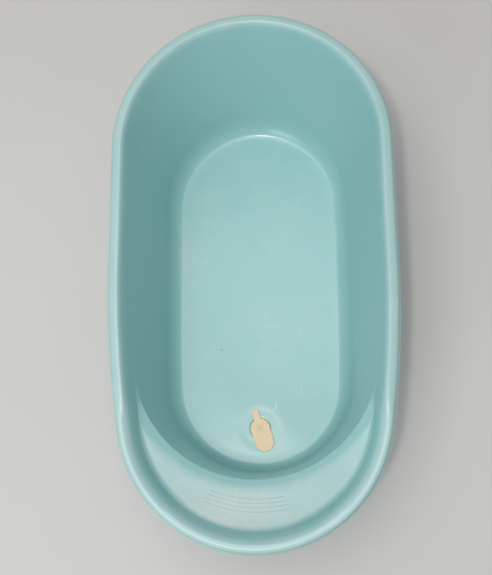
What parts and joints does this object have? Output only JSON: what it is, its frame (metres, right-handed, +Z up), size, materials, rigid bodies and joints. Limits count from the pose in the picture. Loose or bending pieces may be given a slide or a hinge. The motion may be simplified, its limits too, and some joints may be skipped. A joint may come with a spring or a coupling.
{
  "type": "pet bathtub",
  "caption": "Long oval moulded tub with a rolled rim, a crescent ledge at one end, a low foot ring and a floor drain closed by a soft lift-out plug with a pull tab.",
  "frame": {"origin": "on the ground under the middle of the tub's outline", "axes": "+Z up, +Y along the tub towards the end without the ledge, +X across the tub"},
  "size_m": [0.47, 0.886, 0.24],
  "materials": {
    "tub_plastic": "semi-gloss moulded polypropylene, pale aqua",
    "plug_rubber": "soft satin cream moulding"
  },
  "bodies": {
    "tub": {"tub_shell": "tub_plastic"},
    "bung": {"plug_bung": "plug_rubber"},
    "cap": {"plug_cap": "plug_rubber"},
    "tab": {"pull_tab": "plug_rubber"}
  },
  "joints": [
    {"name": "plug_lift", "type": "slide", "parent": "tub", "child": "bung", "axis": [0, 0, 1], "range_m": [0, 0.25]},
    {"name": "plug_turn", "type": "hinge", "parent": "bung", "child": "cap", "pos_m": [0, -0.2505, 0.018], "axis": [0, 0, 1], "continuous": true},
    {"name": "tab_bend", "type": "hinge", "parent": "cap", "child": "tab", "pos_m": [-0.00532, -0.23372, 0.02105], "axis": [0.9532, 0.3024, 0], "range_deg": [0, 75], "stiffness_Nm_per_rad": 0.01}
  ]
}
